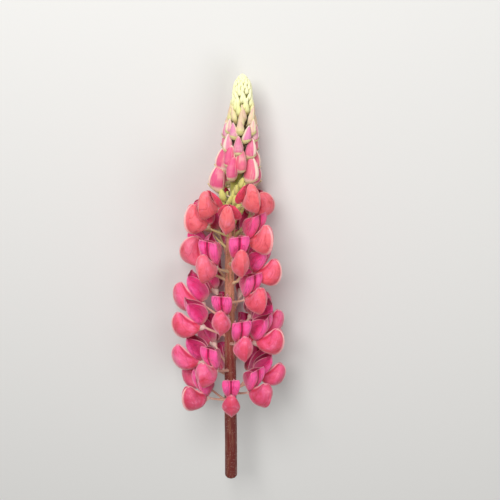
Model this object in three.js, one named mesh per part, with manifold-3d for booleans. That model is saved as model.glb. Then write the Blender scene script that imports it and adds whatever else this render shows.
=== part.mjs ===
// A lupin flower spike, cut and lying on a table: a leafless stem, open florets standing
// round it on slender stalks, and a spire of unopened buds at its tip.
//
// It is built as it grew, upright along +Z with the cut end of the stem at the origin and
// its best side towards -Y, and is laid down on its far side at the end. Lengths are in
// millimetres and angles in degrees. A floret's azimuth is counted from the best side,
// towards +X, and its height is where its stalk leaves the stem.

import * as THREE from "three";
import { mergeVertices } from "three/addons/utils/BufferGeometryUtils.js";
import Module from "manifold-3d";

const wasm = await Module();
wasm.setup();

// Driving dimensions of the whole spike
const spikeLength = 280;
const stemTop = 200; // where the stem gives way to the spire of buds
// Lying down, the stem slopes towards its tip, because the lower florets reach out further.
// Its axis is this high above the table at 60, and a little to one side of the middle.
const lying = { slope: 3, axis: 34.6, at: 60, side: 0.8 };
const lean = { side: 8.4, from: 150, to: 275 }; // the tip leans to one side
const seam = 0.3; // clearance between pieces that touch

// Thickness of the stem: [height, radius]
const stemRadii = [
  [0, 4.0],
  [55, 3.9],
  [95, 3.5],
  [135, 3.0],
  [170, 2.6],
  [200, 2.2],
];

// Open florets of the side that shows best: [azimuth, height, tilt, roll, size]
const bestSide = [
  [-54, 63.4, 30.4, 1, 1.02],
  [2.3, 66.7, 29, 0, 0.928],
  [44, 68.8, 28.9, 0, 1.01],
  [91.4, 70.7, 24.2, 0, 0.93],
  [-93, 82.1, 25.8, -1, 1.035],
  [-29.8, 86.3, 29.1, 0, 1.018],
  [65.5, 101.6, 28.2, 0, 1.053],
  [-75.9, 111, 25.2, 1.5, 1.03],
  [17.6, 106.2, 29.1, 0, 1.026],
  [102.8, 105.4, 25.5, 1, 0.945],
  [-103, 121.8, 31, 4.5, 1.055],
  [-8.9, 125.5, 24.8, 0, 1.031],
  [37.8, 135.2, 31.6, 0, 1.021],
  [64.8, 148.4, 31.6, 1, 1.01],
  [-92.5, 150.2, 69.6, -9, 1.03],
  [-29, 156.9, 33.6, 0, 1.053],
  [14.6, 162.1, 31.5, 0, 1.028],
  [104.3, 180.5, 69.2, 4.5, 0.85],
  [-59.2, 180.4, 48.7, 5.5, 0.965],
  [46.7, 171.9, 36.4, 0, 1.051],
  [-3.7, 187.4, 39.3, -6.5, 0.98],
  [-35.6, 193.6, 43.2, -4.5, 0.935],
  [26.1, 197.5, 47.3, 11.5, 0.96],
  [-117.8, 60.2, 29.9, 7.5, 0.97],
];

// Open florets of the far side, which carry its whorls on
const farSide = [
  [137.9, 64.9, 27.8, 5.5, 0.95],
  [188, 63, 27, 0, 0.97],
  [155.3, 86, 30.1, 0, 0.97],
  [214.8, 86.8, 31.6, 0, 0.965],
  [132.4, 108.9, 33.2, 2, 0.965],
  [189.8, 101.4, 36.9, 0, 0.955],
  [158.5, 121.7, 36.1, 5, 0.955],
  [210.6, 125.1, 36.8, 5.5, 0.97],
  [133, 144.8, 36.5, 3.5, 0.955],
  [176.8, 143.4, 33.6, -5, 0.985],
  [227.6, 149.9, 22.1, -11.5, 0.96],
  [154, 164.3, 43.4, -4.5, 0.925],
  [206.1, 165.8, 39, 5, 0.95],
  [132.5, 177.4, 34.4, 0, 0.94],
  [183.6, 178.6, 40.9, -10.5, 0.915],
  [236.1, 170.8, 38.3, -2.5, 0.925],
];

// The stalk and petals of a floret at the foot of the spike (old) and at the top of the
// open ones (young)
const old = { height: 63, climb: 26.5, stalk: 15.6, plump: 1, lift: 29 };
const young = { height: 194, climb: 34.5, stalk: 15.7, plump: 0.75, lift: 16 };

const radians = THREE.MathUtils.degToRad;
const mix = THREE.MathUtils.lerp;

// Solids

function solidOf(geometry) {
  const bare = geometry.clone();
  bare.deleteAttribute("normal");
  bare.deleteAttribute("uv");
  const merged = mergeVertices(bare, 1e-4);
  const vertProperties = new Float32Array(merged.attributes.position.array);
  const triVerts = new Uint32Array(merged.index.array);
  return new wasm.Manifold(new wasm.Mesh({ numProp: 3, vertProperties, triVerts }));
}

function geometryOf(solid) {
  const { vertProperties, triVerts } = solid.getMesh();
  const geometry = new THREE.BufferGeometry();
  geometry.setAttribute("position", new THREE.BufferAttribute(vertProperties, 3));
  geometry.setIndex(new THREE.BufferAttribute(triVerts, 1));
  const flat = geometry.toNonIndexed();
  flat.computeVertexNormals();
  return flat;
}

// A closed skin over rings of equally many points, which run anticlockwise as seen from
// the first ring, with a fan closing each end. An end may also be a single point.
function loft(rings) {
  const points = rings.flat();
  const faces = [];
  let start = 0;
  for (let r = 0; r + 1 < rings.length; r++) {
    const [here, next] = [rings[r].length, rings[r + 1].length];
    const above = start + here;
    for (let i = 0; i < Math.max(here, next); i++) {
      const j = i + 1;
      const quad = [start + (i % here), above + (i % next), start + (j % here), above + (j % next)];
      if (next > 1) faces.push(quad[0], quad[1], quad[3]);
      if (here > 1) faces.push(quad[0], quad[3], quad[2]);
    }
    start = above;
  }
  for (let i = 1; i + 1 < rings[0].length; i++) faces.push(0, i, i + 1);
  for (let i = 1; i + 1 < rings.at(-1).length; i++) faces.push(start, start + i + 1, start + i);
  const geometry = new THREE.BufferGeometry().setFromPoints(points);
  geometry.setIndex(faces);
  return geometry;
}

// A petal blade of even thickness over a grid of surface points, rows by columns. The
// surface takes a column and a row
function blade(surface, rows, columns, thickness) {
  const at = (r, c) => surface(c, r);
  const points = [];
  for (const side of [0.5, -0.5]) {
    for (let r = 0; r <= rows; r++) {
      for (let c = 0; c <= columns; c++) {
        const along = at(Math.min(r + 0.1, rows), c).sub(at(Math.max(r - 0.1, 0), c));
        const across = at(r, Math.min(c + 0.1, columns)).sub(at(r, Math.max(c - 0.1, 0)));
        const normal = across.cross(along).normalize();
        points.push(at(r, c).addScaledVector(normal, side * thickness));
      }
    }
  }
  const width = columns + 1;
  const back = width * (rows + 1);
  const faces = [];
  for (let r = 0; r < rows; r++) {
    for (let c = 0; c < columns; c++) {
      const a = r * width + c;
      faces.push(a, a + 1, a + width, a + 1, a + width + 1, a + width);
      faces.push(back + a, back + a + width, back + a + 1);
      faces.push(back + a + 1, back + a + width, back + a + width + 1);
    }
  }
  const rim = [];
  for (let c = 0; c < columns; c++) rim.push(c);
  for (let r = 0; r < rows; r++) rim.push(r * width + columns);
  for (let c = columns; c > 0; c--) rim.push(rows * width + c);
  for (let r = rows; r > 0; r--) rim.push(r * width);
  rim.forEach((a, i) => {
    const b = rim[(i + 1) % rim.length];
    faces.push(a, back + a, b, b, back + a, back + b);
  });
  const geometry = new THREE.BufferGeometry().setFromPoints(points);
  geometry.setIndex(faces);
  return geometry;
}

// The stem's line and thickness

function leanAt(height) {
  return lean.side * THREE.MathUtils.smoothstep(height, lean.from, lean.to);
}

function radiusAt(height) {
  for (let i = 1; i < stemRadii.length; i++) {
    const [low, thick] = stemRadii[i - 1];
    const [high, thin] = stemRadii[i];
    if (height <= high) return mix(thick, thin, (height - low) / (high - low));
  }
  return stemRadii.at(-1)[1];
}

// A point at an azimuth, a distance out from the stem's axis and a height
function pointAt(azimuth, out, height) {
  const turn = radians(azimuth);
  return new THREE.Vector3(out * Math.sin(turn) + leanAt(height), -out * Math.cos(turn), height);
}

function ringAt(height, radius, sides) {
  const ring = [];
  for (let i = 0; i < sides; i++) ring.push(pointAt((-360 * i) / sides, radius, height));
  return ring;
}

// One open floret
// Its own frame has the wings pointing along +X, the banner standing towards +Z and the
// mouth of the calyx at the origin.

// The two wings close up as a pouch. Sections along it: [x, top, bottom, half width]
const pouch = [
  [1.8, 1.9, -2.1, 1.8],
  [3.6, 2.7, -7.6, 3.9],
  [9, 3.2, -10.6, 6.3],
  [15, 4.2, -8.2, 5.9],
  [18.4, 3.9, -4.4, 3.3],
];
const pouchTip = { x: 20.4, z: 0.2 };
// Half of a section through the pouch, from its ridge to its keel: [across, up]
const pouchSection = [
  [0, 1],
  [0.66, 0.58],
  [1, 0.02],
  [0.76, -0.62],
  [0, -1],
];

function wings(plump) {
  const rings = pouch.map(([x, top, bottom, half], i) => {
    const halfWidth = i === 0 ? half : half * plump;
    const middle = (top + bottom) / 2;
    const point = (across, up) =>
      new THREE.Vector3(x, across * halfWidth, middle + (up * (top - bottom)) / 2);
    const near = pouchSection.map(([across, up]) => point(across, up));
    const far = pouchSection.slice(1, -1).reverse();
    return [...near, ...far.map(([across, up]) => point(-across, up))];
  });
  return loft([...rings, [new THREE.Vector3(pouchTip.x, 0, pouchTip.z)]]);
}

// The banner stands over the foot of the wings, its two sides folded back from a mid crease.
// In the youngest whorl it is still a shallow hood behind the wings.
const bannerRoot = { x: 2.4, z: 1.1 };
// Rows from foot to rim, each as [up, back] in the direction the banner stands: its crease,
// its two corners [half width, share of the way to the rim] and its rim [up, back, half width]
const folded = {
  crease: [[0, 0], [3.6, -0.2], [9.2, -0.1], [14.6, 1.5], [18.3, 4.8]],
  corner: [[1.9, 0.2], [3.6, 0.16], [5.1, 0.14], [5.6, 0.16], [4.6, 0.3]],
  rim: [[-0.4, 3.9, 1.3], [2, 8.5, 1.8], [7.8, 10.8, 2], [13.4, 9.9, 1.9], [17.8, 7.4, 1.5]],
};
const hooded = {
  crease: [[0, 0], [3, 0], [7.5, 0], [12, 0.3], [15.2, 1.4]],
  corner: [[1, 0.3], [2.8, 0.3], [4.4, 0.25], [4.6, 0.3], [3, 0.4]],
  rim: [[-0.2, 0.8, 1.8], [1.6, 1.8, 5.4], [6.6, 2.8, 7.8], [11.4, 3, 7.6], [15.2, 2.8, 4.8]],
};
const hood = { from: 0.8, to: 0.95 }; // ages between which one becomes the other
const bannerThickness = 0.8;

// Grid points of the banner: a row from 0 to 4, and a column from its left rim to its right
function bannerSurface({ lift, age }) {
  const share = THREE.MathUtils.smoothstep(age, hood.from, hood.to);
  const turn = radians(lift);
  const shape = {};
  for (const name in folded) {
    shape[name] = folded[name].map((values, row) =>
      values.map((value, i) => mix(value, hooded[name][row][i], share)),
    );
  }
  const grid = shape.crease.map(([up, back], row) => {
    const [half, way] = shape.corner[row];
    const [rimUp, rimBack, rimHalf] = shape.rim[row];
    const corner = [mix(up, rimUp, way), mix(back, rimBack, way), half];
    return [[rimUp, rimBack, -rimHalf], [...corner.slice(0, 2), -half], [up, back, 0], corner,
      [rimUp, rimBack, rimHalf]];
  });
  return (column, row) => {
    const [low, left] = [Math.min(Math.floor(row), 3), Math.min(Math.floor(column), 3)];
    const at = (i) => {
      const lower = mix(grid[low][left][i], grid[low][left + 1][i], column - left);
      const upper = mix(grid[low + 1][left][i], grid[low + 1][left + 1][i], column - left);
      return mix(lower, upper, row - low);
    };
    return new THREE.Vector3(
      bannerRoot.x + at(0) * Math.cos(turn) - at(1) * Math.sin(turn),
      at(2),
      bannerRoot.z + at(0) * Math.sin(turn) + at(1) * Math.cos(turn),
    );
  };
}

function petals(floret) {
  const banner = blade(bannerSurface(floret), 4, 4, bannerThickness);
  return solidOf(wings(floret.plump)).add(solidOf(banner));
}

// The calyx is a small knob that widens from the stalk to the foot of the petals, and ends
// flat just behind them: [x, top, bottom, half width]
const calyxSides = 5;
const calyxRings = [
  [-1.6, 0.7, -0.7, 0.7],
  [pouch[0][0] - seam, 2.2, -2.6, 2.1],
];

function calyxRing([x, top, bottom, half]) {
  const ring = [];
  for (let i = 0; i < calyxSides; i++) {
    const turn = (2 * Math.PI * i) / calyxSides;
    const up = Math.cos(turn);
    ring.push(new THREE.Vector3(x, half * Math.sin(turn), up > 0 ? up * top : -up * bottom));
  }
  return ring;
}

// Where a floret stands on the stem, and how far open it is
function place([azimuth, height, tilt, roll, size]) {
  const age = THREE.MathUtils.clamp((height - old.height) / (young.height - old.height), 0, 1);
  const between = (name) => mix(old[name], young[name], age);
  return {
    azimuth,
    height,
    tilt,
    roll,
    size,
    age,
    climb: between("climb"),
    stalk: between("stalk"),
    plump: between("plump"),
    lift: between("lift"),
  };
}

// The end of a floret's stalk, and its frame there
function frameOf(floret, press) {
  const { azimuth, height, stalk, climb, tilt, size, roll } = floret;
  const slant = radians(climb + press);
  const out = radiusAt(height) + stalk * Math.cos(slant);
  const end = pointAt(azimuth, out, height + stalk * Math.sin(slant));
  end.x += leanAt(height) - leanAt(end.z);
  const turn = radians(azimuth);
  const radial = new THREE.Vector3(Math.sin(turn), -Math.cos(turn), 0);
  const lateral = new THREE.Vector3(Math.cos(turn), Math.sin(turn), 0);
  const rise = radians(tilt + press);
  const forward = radial.clone().multiplyScalar(Math.cos(rise));
  forward.z = Math.sin(rise);
  const up = forward.clone().cross(lateral);
  const frame = new THREE.Matrix4().makeBasis(forward, lateral, up).setPosition(end);
  frame.multiply(new THREE.Matrix4().makeRotationX(radians(roll)));
  return frame.scale(new THREE.Vector3(size, size, size));
}

// The spike laid down on its far side, its tip towards +Y, on a table at z = 0
const laid = new THREE.Matrix4().makeRotationX(radians(-90 - lying.slope));
laid.setPosition(
  lying.side,
  (-spikeLength / 2) * Math.cos(radians(lying.slope)),
  lying.axis + lying.at * Math.sin(radians(lying.slope)),
);

function lowest(solid, frame) {
  const { vertProperties } = solid.getMesh();
  const toTable = laid.clone().multiply(frame);
  const point = new THREE.Vector3();
  let low = Infinity;
  for (let i = 0; i < vertProperties.length; i += 3) {
    low = Math.min(low, point.fromArray(vertProperties, i).applyMatrix4(toTable).z);
  }
  return low;
}

// The table pushes the florets under the spike up along the stem, until each sinks into
// it by no more than the flat spot it then gets
const flatSpot = 0.5;
function pressed(floret, solid) {
  if (lowest(solid, frameOf(floret, 0)) >= -flatSpot) return 0;
  let [low, high] = [0, 40];
  for (let i = 0; i < 20; i++) {
    const middle = (low + high) / 2;
    if (lowest(solid, frameOf(floret, middle)) < -flatSpot) low = middle;
    else high = middle;
  }
  return high;
}

// Parts

const florets = [...bestSide, ...farSide].map(place);

const under = new THREE.BoxGeometry(spikeLength, 2 * spikeLength, spikeLength);
under.translate(0, 0, -spikeLength / 2);
const table = solidOf(under.applyMatrix4(laid.clone().invert()));

function transformed(solid, frame) {
  return solidOf(geometryOf(solid).applyMatrix4(frame));
}

const corollas = florets.map((floret) => {
  const solid = petals(floret);
  floret.press = pressed(floret, solid);
  return transformed(solid, frameOf(floret, floret.press)).subtract(table);
});

// The stalk starts inside the stem and widens into the calyx
const stalkRoot = { depth: 1.2, drop: 0.6, spread: 1.25, sag: 0.6 };

function stalk(floret) {
  const frame = frameOf(floret, floret.press);
  const calyx = calyxRings.map((ring) => calyxRing(ring).map((p) => p.applyMatrix4(frame)));
  const end = new THREE.Vector3(calyxRings[0][0], 0, 0).applyMatrix4(frame);
  const out = radiusAt(floret.height) - stalkRoot.depth;
  const root = pointAt(floret.azimuth, out, floret.height - stalkRoot.drop);
  const middle = root.clone().lerp(end, 0.5);
  middle.z -= stalkRoot.sag;
  const hub = calyx[0].map((p) => p.clone().sub(end));
  const thin = hub.map((p) => p.clone().add(middle));
  const wide = hub.map((p) => p.clone().multiplyScalar(stalkRoot.spread).add(root));
  return loft([wide, thin, ...calyx]);
}

function stem() {
  const rings = [];
  const stations = [0, 25, 55, 75, 95, 115, 135, 152, 170, 185, stemTop];
  for (const height of stations) rings.push(ringAt(height, radiusAt(height), 10));
  let solid = solidOf(loft(rings));
  for (const floret of florets) solid = solid.add(solidOf(stalk(floret)));
  return solid;
}

// The spire of buds
// The lower buds, each as [azimuth, gap], where a gap is a distance down from the tip
const lowerBuds = [
  [-92, 72.5], [-18, 62], [58, 64.5], [112, 71], [162, 70], [212, 71],
  [-93, 59.5], [-37, 54.5], [15, 57], [91, 59.5], [138, 59], [182, 58], [226, 59],
  [-57, 46], [-2, 46.5], [57, 49.5], [105, 49], [153, 48], [198, 47], [246, 47.5],
  [-94, 39.5], [-27, 37], [26, 39], [86, 41], [136, 39], [180, 38], [224, 38.5],
];
// Above them each whorl turns half a bud against the one below it
const whorls = { from: 31, rows: 8, buds: 7 };

function envelopeAt(gap) {
  const blunt = 0.8 * Math.exp(-(((gap - 6.5) / 3.5) ** 2));
  return 1.62 * Math.sqrt(Math.max(gap, 0)) + blunt + 0.13 * Math.max(gap - 45, 0);
}

function coreAt(gap) {
  return Math.min(0.45 * envelopeAt(gap), 2.2 + 0.09 * Math.max(spikeLength - stemTop - gap, 0));
}

// A bud flattened from side to side, which bulges outward to the spire's outline and bends
// in to its tip. The larger ones stand clear of the axis on a short neck.
// Sections up a bud: [share of its length, out, in, half width], as shares of its length
const neck = [0.02, 0.08, -0.08, 0.07];
const budSections = [
  [0.3, 0.4, -0.2, 0.22],
  [0.7, 0.27, -0.15, 0.17],
];
const neckGap = 40;
const budSides = 5;

function bud(azimuth, gap) {
  const length = 1.9 + 0.19 * gap;
  const [widest, reach] = budSections[0];
  const tipGap = Math.max(gap - length, 0.3);
  const base = pointAt(azimuth, envelopeAt(gap - widest * length) - reach * length, spikeLength - gap);
  const tip = pointAt(azimuth, 0.7 * envelopeAt(tipGap), spikeLength - tipGap);
  const root = pointAt(azimuth, coreAt(gap) * 0.5, spikeLength - gap - 0.15 * length);
  const turn = radians(azimuth);
  const lateral = new THREE.Vector3(Math.cos(turn), Math.sin(turn), 0);
  const along = tip.clone().sub(base);
  const out = lateral.clone().cross(along).normalize();
  const sections = gap > neckGap ? [neck, ...budSections] : budSections;
  const rings = sections.map(([share, front, back, half]) => {
    const ring = [];
    for (let i = 0; i < budSides; i++) {
      const angle = (-2 * Math.PI * i) / budSides;
      const push = Math.cos(angle) > 0 ? front * Math.cos(angle) : -back * Math.cos(angle);
      const point = base.clone().addScaledVector(along, share);
      point.addScaledVector(out, push * length);
      ring.push(point.addScaledVector(lateral, half * Math.sin(angle) * length));
    }
    return ring;
  });
  return loft([[root], ...rings, [tip]]);
}

function spire() {
  const gaps = [spikeLength - stemTop - seam, 68, 55, 40, 26, 14, 6, 1];
  const rings = gaps.map((gap) => ringAt(spikeLength - gap, coreAt(gap), 7));
  let solid = solidOf(loft(rings));
  const buds = [...lowerBuds];
  let gap = whorls.from;
  for (let row = 0; row < whorls.rows; row++) {
    for (let i = 0; i < whorls.buds; i++) buds.push([(360 / whorls.buds) * (i + (row % 2) / 2), gap]);
    gap -= 2 + 0.125 * gap;
  }
  for (const [azimuth, at] of buds) solid = solid.add(solidOf(bud(azimuth, at)));
  return solid;
}

// The whole spike

const stemColor = 0x9d8a62;
const budColor = 0xe6a9a0;
const petalColors = { old: 0xe8527f, young: 0xe04a5e };

function node(name, solid, color, roughness) {
  const material = new THREE.MeshStandardMaterial({ color, roughness, metalness: 0 });
  const mesh = new THREE.Mesh(geometryOf(solid), material);
  mesh.name = name;
  return mesh;
}

const spike = new THREE.Group();
spike.add(node("stem", stem(), stemColor, 0.65));
spike.add(node("bud_spire", spire(), budColor, 0.6));
corollas.forEach((solid, i) => {
  const number = String(i + 1).padStart(2, "0");
  const color = new THREE.Color(petalColors.old);
  color.lerp(new THREE.Color(petalColors.young), florets[i].age);
  spike.add(node("floret_" + number, solid, color, 0.55));
});
spike.applyMatrix4(laid);

const lupin = new THREE.Group();
lupin.add(spike);

export default lupin;
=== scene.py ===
import math
import random

import bmesh
import bpy
from mathutils import Matrix, Vector


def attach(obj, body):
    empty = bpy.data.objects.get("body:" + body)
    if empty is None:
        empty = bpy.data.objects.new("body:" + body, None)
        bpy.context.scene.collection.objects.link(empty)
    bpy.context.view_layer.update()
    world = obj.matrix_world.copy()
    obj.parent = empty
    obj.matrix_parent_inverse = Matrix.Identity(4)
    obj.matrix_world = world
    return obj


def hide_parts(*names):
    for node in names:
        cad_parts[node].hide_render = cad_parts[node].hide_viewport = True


# A cut lupin flower spike, lying on a table. Shapes are worked out in millimetres on the spike
# as it grew, upright along +Z with its best side towards -Y. The matrix laid then puts them
# down in metres. A floret's azimuth is counted from the best side towards +X, in degrees.

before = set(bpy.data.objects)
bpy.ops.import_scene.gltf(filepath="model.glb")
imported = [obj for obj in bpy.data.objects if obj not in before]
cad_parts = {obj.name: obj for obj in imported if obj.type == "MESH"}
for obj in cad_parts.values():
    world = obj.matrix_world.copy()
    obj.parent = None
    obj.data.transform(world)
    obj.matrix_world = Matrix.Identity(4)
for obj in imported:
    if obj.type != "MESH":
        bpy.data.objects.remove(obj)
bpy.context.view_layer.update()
print("frame loaded, nodes:", len(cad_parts))


# Camera

camera = {
    "lens": 78,
    "distance": 0.65,
    "lookDown": 30,  # degrees off straight down, towards the foot of the spike
    "target": (0.0134, 0.02995, 0.02886),
}


def makeCamera():
    tilt = math.radians(camera["lookDown"])
    lens = bpy.data.cameras.new("photo camera")
    lens.lens = camera["lens"]
    lens.sensor_width = 36
    lens.clip_start = 0.01
    taker = bpy.data.objects.new("photo camera", lens)
    taker.rotation_euler = (-tilt, 0, 0)
    back = Vector((0, math.sin(tilt), math.cos(tilt)))
    taker.location = Vector(camera["target"]) + camera["distance"] * back
    bpy.context.scene.collection.objects.link(taker)
    bpy.context.scene.camera = taker


makeCamera()


# Shader maths

class Wire:
    # A socket of a material's node tree. Arithmetic on it adds Math nodes.
    def __init__(self, tree, socket=None):
        self.tree = tree
        self.socket = socket

    def node(self, kind, settings=None, sockets=None, out=0):
        made = self.tree.nodes.new(kind)
        for name, value in (settings or {}).items():
            if name == "stops":
                ramp = made.color_ramp
                for i, (at, shade) in enumerate(value):
                    stop = ramp.elements[i] if i < 2 else ramp.elements.new(at)
                    stop.position = at
                    stop.color = shade
            else:
                setattr(made, name, value)
        for name, value in (sockets or {}).items():
            if isinstance(value, Wire):
                self.tree.links.new(value.socket, made.inputs[name])
            else:
                made.inputs[name].default_value = value
        return Wire(self.tree, made.outputs[out])

    def math(self, operation, first, second=0.0):
        return self.node("ShaderNodeMath", {"operation": operation}, {0: first, 1: second})

    def __add__(self, other):
        return self.math("ADD", self, other)

    def __radd__(self, other):
        return self.math("ADD", other, self)

    def __sub__(self, other):
        return self.math("SUBTRACT", self, other)

    def __rsub__(self, other):
        return self.math("SUBTRACT", other, self)

    def __mul__(self, other):
        return self.math("MULTIPLY", self, other)

    def step(self, low, high):
        # rises smoothly from 0 at low to 1 at high, and falls where low is the larger
        settings = {"interpolation_type": "SMOOTHSTEP"}
        ends = (low, high, 0.0, 1.0) if low < high else (high, low, 1.0, 0.0)
        names = ("From Min", "From Max", "To Min", "To Max")
        return self.node("ShaderNodeMapRange", settings, {"Value": self, **dict(zip(names, ends))})

    def blend(self, first, second, how="MIX"):
        # a colour between first and second, by this share of second
        settings = {"data_type": "RGBA", "blend_type": how, "clamp_factor": True}
        return self.node("ShaderNodeMix", settings, {0: self, 6: first, 7: second}, out=2)

    def mark(self, name):
        return self.node("ShaderNodeAttribute", {"attribute_name": name}, out=2)

    def noise(self, where, scale, detail=2.0, roughness=0.5):
        sockets = {"Vector": where, "Scale": scale, "Detail": detail, "Roughness": roughness}
        return self.node("ShaderNodeTexNoise", None, sockets)

    def folds(self, where, thin):
        # 1 on a few wandering lines, and 0 off them
        field = self.noise(where, 1.0, 1.5)
        return field.step(0.5 - thin, 0.5) * field.step(0.5 + thin, 0.5)

    def place(self, x=1.0, y=1.0, z=1.0):
        # object coordinates, stretched
        here = self.node("ShaderNodeTexCoord", out=3)
        return self.node("ShaderNodeMapping", None, {"Vector": here, "Scale": (x, y, z)})

    def vector(self, x, y, z):
        return self.node("ShaderNodeCombineXYZ", None, {0: x, 1: y, 2: z})

    def bump(self, strength, distance):
        sockets = {"Height": self, "Strength": strength, "Distance": distance}
        return self.node("ShaderNodeBump", None, sockets)


def pigment(red, green, blue):
    # a colour given in screen values, 0 to 255, as Blender's linear values
    linear = []
    for value in (red / 255, green / 255, blue / 255):
        linear.append(value / 12.92 if value <= 0.04045 else ((value + 0.055) / 1.055) ** 2.4)
    return (*linear, 1.0)


def newSkin(name, constants, build):
    material = bpy.data.materials.new(name)
    material.use_nodes = True
    tree = material.node_tree
    surface = tree.nodes["Principled BSDF"]
    for socket, value in constants.items():
        surface.inputs[socket].default_value = value
    for socket, wire in build(Wire(tree)).items():
        tree.links.new(wire.socket, surface.inputs[socket])
    return material


# Shape helpers

def mix(first, second, share):
    return first + (second - first) * share


def ease(value, low, high):
    share = min(max((value - low) / (high - low), 0), 1)
    return share * share * (3 - 2 * share)


def hump(value, middle, width):
    return math.exp(-((value - middle) / width) ** 2)


def through(keys, at):
    # the values, at a position, of a smooth curve through keys: (position, value, value, ...)
    last = len(keys) - 1
    at = min(max(at, keys[0][0]), keys[last][0])
    k = next(k for k in range(last) if at <= keys[k + 1][0])

    def slopes(k):
        low, high = keys[max(k - 1, 0)], keys[min(k + 1, last)]
        return [(b - a) / (high[0] - low[0]) for a, b in zip(low[1:], high[1:])]

    span = keys[k + 1][0] - keys[k][0]
    t = (at - keys[k][0]) / span
    rise = t * t * (3 - 2 * t)
    weights = (1 - rise, rise, span * t * (1 - t) ** 2, -span * t * t * (1 - t))
    columns = zip(keys[k][1:], keys[k + 1][1:], slopes(k), slopes(k + 1))
    return [sum(w * value for w, value in zip(weights, column)) for column in columns]


marks = ("along", "across", "age", "tone")
tableTop = 0.00018  # metres above the table that the points of every sheet and hair keep


def newMesh():
    bm = bmesh.new()
    for name in marks:
        bm.verts.layers.float.new(name)
    return bm


def addGrid(bm, rows, columns, shape, tones, material=0):
    # A sheet of rows by columns faces. shape(u, v), with u and v from 0 to 1, gives a point
    # on the grown spike and the marks along and across. Points that meet are joined.
    made = bmesh.ops.create_grid(bm, x_segments=rows, y_segments=columns, size=0.5)["verts"]
    layers = [bm.verts.layers.float[name] for name in marks]
    for vert in made:
        point, along, across = shape(vert.co.x + 0.5, vert.co.y + 0.5)
        vert.co = laid @ point
        vert.co.z = max(vert.co.z, tableTop)
        for layer, value in zip(layers, (along, across, *tones)):
            vert[layer] = value
    for face in {face for vert in made for face in vert.link_faces}:
        face.material_index = material
        face.smooth = True
    bmesh.ops.remove_doubles(bm, verts=made, dist=0.000004)


hairs = {
    "thick": 0.035,
    "length": (0.6, 1.3),
    "bend": 0.4,
    # how many on a sheet, between which shares of its length, and how long for their kind
    "stem": (2600, 0.03, 0.99, 1.0),
    "stalk": (44, 0.05, 0.85, 0.8),
    "bud": (36, 0.3, 0.95, 0.6),
}


def hairsOn(shape, kind, rng):
    # roots and tips of hairs that stand on a round sheet
    count, low, high, scale = hairs[kind]
    made = []
    for _ in range(count):
        u, v = rng.uniform(low, high), rng.random()
        root = shape(u, v)[0]
        out = (root - shape(u, (v + 0.5) % 1)[0]).normalized()
        bend = Vector([rng.uniform(-hairs["bend"], hairs["bend"]) for _ in range(3)])
        made.append((root, root + (out + bend) * rng.uniform(*hairs["length"]) * scale))
    return made


def addHairs(bm, strands):
    # Each strand becomes a cone with three sides. One grid gives them all, with two rows of
    # points for each, and the faces between one strand and the next are deleted.
    count = 2 * len(strands) - 1
    made = bmesh.ops.create_grid(bm, x_segments=3, y_segments=count, size=0.5)["verts"]
    rowOf = {}
    for vert in made:
        column, row = round(3 * (vert.co.x + 0.5)), round(count * (vert.co.y + 0.5))
        root, tip = strands[row // 2]
        rowOf[vert] = row
        spin = Matrix.Rotation(2 * math.pi * column / 3, 3, tip - root)
        ring = root + spin @ (tip - root).orthogonal().normalized() * hairs["thick"]
        vert.co = laid @ (tip if row % 2 else ring)
        vert.co.z = max(vert.co.z, tableTop)
    faces = {face for vert in made for face in vert.link_faces}
    between = [face for face in faces if min(rowOf[vert] for vert in face.verts) % 2]
    bmesh.ops.delete(bm, geom=between, context="FACES_ONLY")
    bmesh.ops.remove_doubles(bm, verts=made, dist=0.000001)


def finishPiece(name, bm, skins, nodes=(), wall=0.0, rounds=0):
    mesh = bpy.data.meshes.new(name)
    bm.to_mesh(mesh)
    bm.free()
    for skin in skins:
        mesh.materials.append(skin)
    piece = bpy.data.objects.new(name, mesh)
    bpy.context.scene.collection.objects.link(piece)
    if wall:
        solid = piece.modifiers.new("wall", "SOLIDIFY")
        solid.thickness = wall
        solid.offset = 0
    if rounds:
        rounder = piece.modifiers.new("rounded", "SUBSURF")
        rounder.levels = rounds
        rounder.render_levels = rounds
    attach(piece, "root")
    if nodes:
        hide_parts(*nodes)
    return piece


# The line of the stem, and how it lies on the table

plant = {
    "length": 280,
    "stemTop": 200,
    "slope": 3,  # degrees down towards the tip
    "axis": 34.6,  # height of the stem's axis over the table, at axisAt along it
    "axisAt": 60,
    "side": 0.8,
    "lean": 8.4,
    "leanFrom": 150,
    "leanTo": 275,
    "radii": ((0, 4.0), (55, 3.9), (95, 3.5), (135, 3.0), (170, 2.6), (200, 2.2)),
}

slope = math.radians(plant["slope"])
raised = plant["axis"] + plant["axisAt"] * math.sin(slope)
laid = (
    Matrix.Scale(0.001, 4)
    @ Matrix.Translation((plant["side"], -plant["length"] / 2 * math.cos(slope), raised))
    @ Matrix.Rotation(-math.pi / 2 - slope, 4, "X")
)


def leanAt(height):
    return plant["lean"] * ease(height, plant["leanFrom"], plant["leanTo"])


def radiusAt(height):
    return through(plant["radii"], height)[0]


def pointAt(azimuth, out, height):
    turn = math.radians(azimuth)
    return Vector((out * math.sin(turn) + leanAt(height), -out * math.cos(turn), height))


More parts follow.
